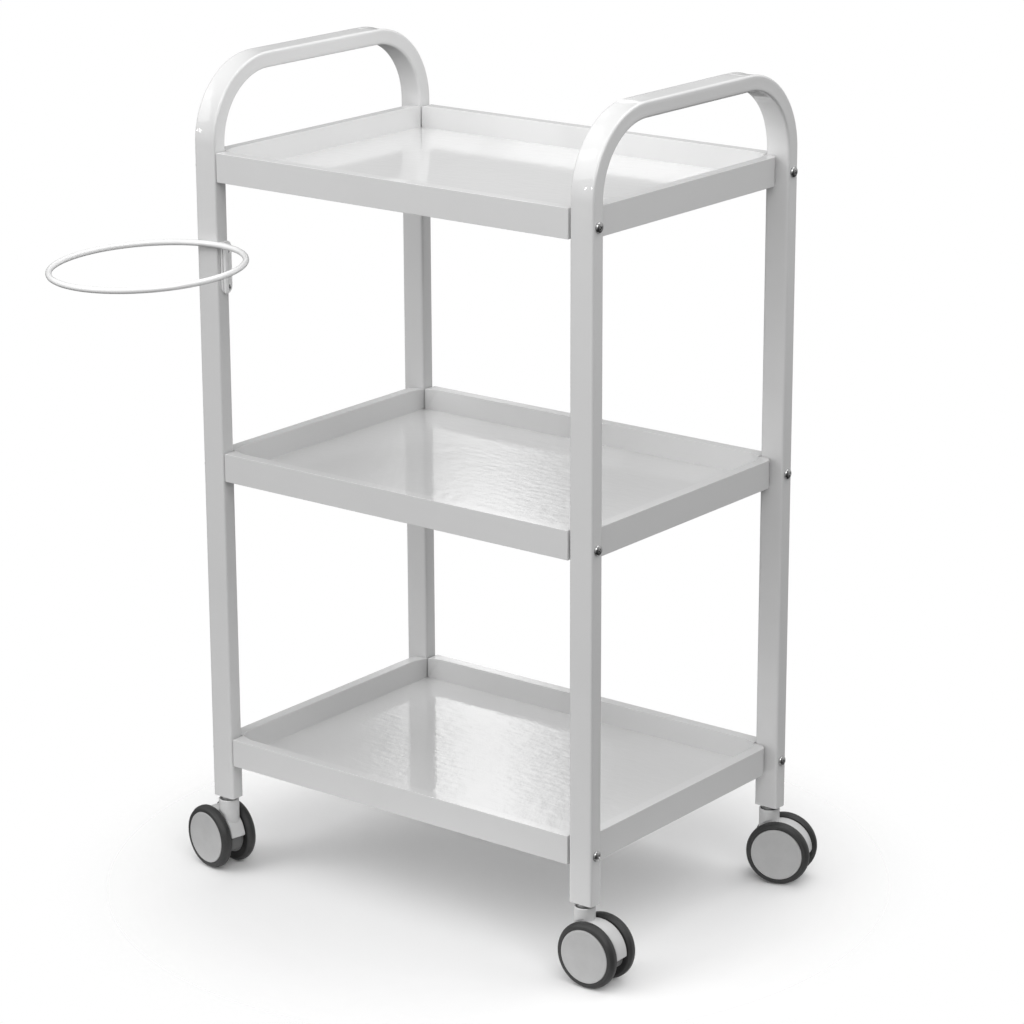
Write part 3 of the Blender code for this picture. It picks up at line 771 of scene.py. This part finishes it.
def neck_mesh():
    """Swivel neck with the stem's recess, cut clear of both wheels."""
    neck = working(lathe([(8.2 * MM, 68 * MM), (8.2 * MM, 70.6 * MM), (8.5 * MM, 71 * MM), (9.3 * MM, 71 * MM),
                          (9.8 * MM, 70.4 * MM), (9.9 * MM, 69.4 * MM), (9.9 * MM, 44 * MM), (9.5 * MM, 43.4 * MM),
                          (0, 43.4 * MM), (0, 52 * MM), (3.9 * MM, 52 * MM), (3.9 * MM, 68 * MM)][::-1], 64), "neck")
    clear = [working(cylinder(WHEEL_R + 0.9 * MM, 8 * MM, 128, (0, s, 0), (TRAIL, s * 8.3 * MM, WHEEL_R))) for s in (-1, 1)]
    for c in clear:
        carve(neck, c)
    me = baked(neck, "caster_neck", 30)
    for c in clear:
        bpy.data.objects.remove(c)
    me.materials.clear()
    me.materials.append(MAT["housing"])
    return me


def core_mesh():
    """Dark inner web below the hood: it carries the axle."""
    pts = []
    for i in range(41):
        a = math.radians(-172 + 344 * i / 40 + 90)
        pts.append((TRAIL + 24.2 * MM * math.cos(a), WHEEL_R + 24.2 * MM * math.sin(a)))
    bm = bmesh.new()
    # a disc with flats: radius 24 above, pulled in below
    ring = []
    for i in range(72):
        a = 2 * math.pi * i / 72
        r = 25.4 - 8.5 * smoothstep((-math.sin(a) - 0.35) / 0.55)
        ring.append((TRAIL + r * MM * math.cos(a), WHEEL_R + r * MM * math.sin(a)))
    face = bm.faces.new([bm.verts.new((x, 6.9 * MM, z)) for x, z in ring])
    top = [g for g in bmesh.ops.extrude_face_region(bm, geom=[face])["geom"] if isinstance(g, bmesh.types.BMVert)]
    bmesh.ops.translate(bm, verts=top, vec=(0, -13.8 * MM, 0))
    ob = working(bm, "core")
    bev = ob.modifiers.new("round", "BEVEL")
    bev.width = 1.6 * MM
    bev.segments = 3
    bev.limit_method = "ANGLE"
    bev.angle_limit = math.radians(50)
    me = baked(ob, "caster_core", 30)
    me.materials.clear()
    me.materials.append(MAT["core"])
    return me


def stem_mesh():
    prof = [(0, 95), (3.2, 95), (3.9, 94.2)]
    z = 93.6
    while z > 74.6:                                   # rolled thread
        prof += [(3.9, z), (3.35, z - 0.6)]
        z -= 1.25
    prof += [(3.9, 73.7), (7.1, 73.7), (7.6, 73.2), (7.6, 69.0), (7.1, 68.4), (3.5, 68.4), (3.5, 53.0), (0, 53.0)]
    return lathe([(r * MM, zz * MM) for r, zz in prof], 40)


def plug_mesh():
    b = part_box("caster_front_right_plug")
    w, d = b[1][0] - b[0][0], b[1][1] - b[0][1]
    pts = fillet([(-w / 2, -d / 2), (w / 2, -d / 2), (w / 2, d / 2), (-w / 2, d / 2)], 1.5 * MM, 5)
    hole = [(4.3 * MM * math.cos(2 * math.pi * k / len(pts) - 2.6), 4.3 * MM * math.sin(2 * math.pi * k / len(pts) - 2.6))
            for k in range(len(pts))]
    bm = bmesh.new()
    rows = [[bm.verts.new((x, y, z)) for x, y in p] for p, z in
            ((pts, 0.5 * MM), (pts, 24 * MM), (hole, 24 * MM), (hole, 0.5 * MM))]
    for a, b2 in zip(rows, rows[1:] + rows[:1]):
        for k in range(len(pts)):
            j = (k + 1) % len(pts)
            bm.faces.new((a[k], a[j], b2[j], b2[k]))
    return bm


hood_me, neck_me = hood_mesh(), neck_mesh()
core_me = core_mesh()
for where, (sx, sy, deg) in CASTERS.items():
    base = "caster_" + where
    leg = Matrix.Translation((FOOT_X + sx * LEG_X, FOOT_Y + sy * LEG_Y, 0))
    ob = obj_from(base + "_thread", stem_mesh(), "stem", 25, leg)
    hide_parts(base + "_stem"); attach(ob, "trolley")
    ob = obj_from(base + "_insert", plug_mesh(), "plug", 30, leg @ Matrix.Translation((0, 0, LEG_BOTTOM)))
    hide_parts(base + "_plug"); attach(ob, "trolley")

    swivel = "swivel_" + where
    m = leg @ Matrix.Rotation(math.radians(deg), 4, "Z")
    ob = obj_from(base + "_hood", hood_me.copy(), "housing", 30, m)
    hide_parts(base + "_housing"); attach(ob, swivel)
    ob = obj_from(base + "_neck", neck_me.copy(), "housing", 30, m)
    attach(ob, swivel)
    ob = obj_from(base + "_web", core_me.copy(), "core", 30, m)
    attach(ob, swivel)
    ob = obj_from(base + "_pin", cylinder(3.0 * MM, 33 * MM, 32, (0, 1, 0), (TRAIL, -16.5 * MM, WHEEL_R)), "axle", 30, m)
    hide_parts(base + "_axle"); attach(ob, swivel)
    for k, turn in (("a", math.pi / 2), ("b", -math.pi / 2)):
        body = "wheel_%s_%s" % (where, k)
        w = m @ Matrix.Translation((TRAIL, 0, WHEEL_R)) @ Matrix.Rotation(turn, 4, "X")
        ob = obj_from("%s_disc_%s" % (base, k), hub_mesh(), "hub", 25, w)
        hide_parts("%s_hub_%s" % (base, k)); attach(ob, body)
        ob = obj_from("%s_rubber_%s" % (base, k), tyre_mesh(), "tyre", 30, w)
        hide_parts("%s_tyre_%s" % (base, k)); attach(ob, body)


# ---------------------------------------------------------------- light table
FLOOR_FADE = (0.25, 0.44)                        # metres from the middle of the feet
WORLD_BASE = 0.02
LOBES = {                                        # direction, exponent, strength
    "back": ((-0.589, 0.754, 0.25), 4.0, 0.24),
    "left": ((-0.80, -0.55, 0.62), 3.0, 0.78),
    "back_right": ((0.50, 0.85, 0.45), 3.0, 0.95),
    "front": ((0.10, -0.97, 0.35), 3.0, 0.74),
    "zenith": ((0, 0, 1), 3.0, 0.06),
}
GLOW = {"azimuth": 38.4, "half_width": 1.3, "low": (12.0, 20.0), "high": (26.0, 36.0), "strength": 2.4}
AREAS = {                                        # place, aim, size, power, other size
    "overhead": ((0.35, 0.50, 2.1), (0, 0.1, 0.3), 1.6, 14.5, 1.6),
    "overhead_near": ((-0.45, -0.55, 1.75), (0, 0.05, 0.4), 0.9, 2.8, 0.9),
    "front_left": ((-1.4, -2.0, 2.1), (0, 0, 0.5), 1.6, 16.5, 1.6),
    "front_right": ((1.6, -1.2, 2.0), (0, 0, 0.5), 1.6, 24.5, 1.6),
    "spark": ((-1.95, -2.65, 1.05), (0, 0, 0.7), 0.14, 2.0, 0.14),
}

# ---------------------------------------------------------------- the studio
def area(name, location, target, size, power, size_y=None, spread=180):
    light = bpy.data.lights.new(name, "AREA")
    light.shape = "RECTANGLE"
    light.size = size
    light.size_y = size_y or size
    light.energy = power
    light.spread = math.radians(spread)
    ob = bpy.data.objects.new(name, light)
    ob.location = location
    ob.rotation_euler = (Vector(target) - Vector(location)).to_track_quat("-Z", "Y").to_euler()
    collection.objects.link(ob)
    return ob


# a matt paper sweep whose rim melts into the white surround
floor_mat, nt, bsdf = new_material("studio_floor")
v = coords(nt)
c = ramp(nt, noise(nt, v, 1.5, 2.0), [(0.3, grey(0.945)), (0.7, grey(0.955))])
nt.links.new(c, bsdf.inputs["Base Color"])
bsdf.inputs["Roughness"].default_value = 0.9
bsdf.inputs["Specular IOR Level"].default_value = 0.1
length = nt.nodes.new("ShaderNodeVectorMath")
length.operation = "LENGTH"
nt.links.new(v, length.inputs[0])
fade = nt.nodes.new("ShaderNodeMapRange")
fade.interpolation_type = "SMOOTHSTEP"
fade.inputs["From Min"].default_value = FLOOR_FADE[0]
fade.inputs["From Max"].default_value = FLOOR_FADE[1]
fade.inputs["To Min"].default_value = 1.0
fade.inputs["To Max"].default_value = 0.0
nt.links.new(length.outputs["Value"], fade.inputs["Value"])
nt.links.new(fade.outputs["Result"], bsdf.inputs["Alpha"])
me = bpy.data.meshes.new("studio_floor")
rim = [(FLOOR_FADE[1] * math.cos(2 * math.pi * k / 96), FLOOR_FADE[1] * math.sin(2 * math.pi * k / 96), 0) for k in range(96)]
me.from_pydata(rim, [], [tuple(range(96))])
me.materials.append(floor_mat)
ground = bpy.data.objects.new("studio_floor", me)
ground.location = (FOOT_X, FOOT_Y, 0)
collection.objects.link(ground)

world = bpy.data.worlds.new("studio")
scene.world = world
world.use_nodes = True
wn = world.node_tree
for n in list(wn.nodes):
    wn.nodes.remove(n)
wout = wn.nodes.new("ShaderNodeOutputWorld")
tc = wn.nodes.new("ShaderNodeTexCoord")
norm = wn.nodes.new("ShaderNodeVectorMath")
norm.operation = "NORMALIZE"
wn.links.new(tc.outputs["Generated"], norm.inputs[0])


def wmath(op, a, b=None):
    n = wn.nodes.new("ShaderNodeMath")
    n.operation = op
    for i, x in enumerate((a, b)):
        if x is None:
            continue
        if isinstance(x, (int, float)):
            n.inputs[i].default_value = x
        else:
            wn.links.new(x, n.inputs[i])
    return n


def wdot(direction):
    n = wn.nodes.new("ShaderNodeVectorMath")
    n.operation = "DOT_PRODUCT"
    wn.links.new(norm.outputs[0], n.inputs[0])
    n.inputs[1].default_value = Vector(direction).normalized()
    return n.outputs["Value"]


base = wmath("ADD", WORLD_BASE, 0.0)
base.name = "world_base"
total = base.outputs[0]
for name, (direction, power, strength) in LOBES.items():
    p = wmath("POWER", wmath("MAXIMUM", wdot(direction), 0.0).outputs[0], power)
    s = wmath("MULTIPLY", p.outputs[0], strength)
    s.name = "lobe_" + name
    total = wmath("ADD", total, s.outputs[0]).outputs[0]
# the lit backdrop behind the trolley: narrow in azimuth, tall in elevation
az0 = math.radians(GLOW["azimuth"])
side_dot = wdot((math.cos(az0), math.sin(az0), 0))
back_dot = wdot((-math.sin(az0), math.cos(az0), 0))
x = wmath("DIVIDE", side_dot, math.sin(math.radians(GLOW["half_width"])))
g = wmath("POWER", math.e, wmath("MULTIPLY", wmath("MULTIPLY", x.outputs[0], x.outputs[0]).outputs[0], -1.0).outputs[0])
z = wdot((0, 0, 1))
rise = wn.nodes.new("ShaderNodeMapRange")
rise.interpolation_type = "SMOOTHSTEP"
rise.inputs["From Min"].default_value = math.sin(math.radians(GLOW["low"][0]))
rise.inputs["From Max"].default_value = math.sin(math.radians(GLOW["low"][1]))
wn.links.new(z, rise.inputs["Value"])
drop = wn.nodes.new("ShaderNodeMapRange")
drop.interpolation_type = "SMOOTHSTEP"
drop.inputs["From Min"].default_value = math.sin(math.radians(GLOW["high"][0]))
drop.inputs["From Max"].default_value = math.sin(math.radians(GLOW["high"][1]))
drop.inputs["To Min"].default_value = 1.0
drop.inputs["To Max"].default_value = 0.0
wn.links.new(z, drop.inputs["Value"])
w = wmath("MULTIPLY", rise.outputs["Result"], drop.outputs["Result"])
w = wmath("MULTIPLY", w.outputs[0], wmath("GREATER_THAN", back_dot, 0.0).outputs[0])
w = wmath("MULTIPLY", w.outputs[0], g.outputs[0])
w = wmath("MULTIPLY", w.outputs[0], GLOW["strength"])
w.name = "lobe_glow"
total = wmath("ADD", total, w.outputs[0]).outputs[0]

seen = wn.nodes.new("ShaderNodeBackground")
seen.inputs["Color"].default_value = (1, 1, 1, 1)
seen.inputs["Strength"].default_value = 1.0
lit = wn.nodes.new("ShaderNodeBackground")
lit.inputs["Color"].default_value = (1, 1, 1, 1)
wn.links.new(total, lit.inputs["Strength"])
lp = wn.nodes.new("ShaderNodeLightPath")
mx = wn.nodes.new("ShaderNodeMixShader")
wn.links.new(lp.outputs["Is Camera Ray"], mx.inputs[0])
wn.links.new(lit.outputs[0], mx.inputs[1])
wn.links.new(seen.outputs[0], mx.inputs[2])
wn.links.new(mx.outputs[0], wout.inputs["Surface"])

for name, args in AREAS.items():
    area(name, *args)

scene.view_settings.view_transform = "Standard"
scene.view_settings.look = "None"
scene.view_settings.exposure = 0.0
scene.view_settings.gamma = 1.0


# ---------------------------------------------------------------- the camera
cam = bpy.data.cameras.new("camera")
cam.sensor_width = 36.0
cam.lens = 3475.53 / 1024 * 36.0
cam.clip_start = 0.05
cam.clip_end = 100
co = bpy.data.objects.new("camera", cam)
az, el, roll = math.radians(37.9), math.radians(16.93), math.radians(-0.21)
back = Vector((math.sin(az) * math.cos(el), -math.cos(az) * math.cos(el), math.sin(el)))
right = (-back).cross(Vector((0, 0, 1))).normalized()
up = right.cross(-back)
r2 = right * math.cos(roll) + up * math.sin(roll)
u2 = -right * math.sin(roll) + up * math.cos(roll)
rot = Matrix((r2, u2, back)).transposed()
co.matrix_world = Matrix.Translation((1.92729 + FOOT_X, -2.45209 + FOOT_Y, 1.30089 + 0.0115)) @ rot.to_4x4()
collection.objects.link(co)
scene.camera = co
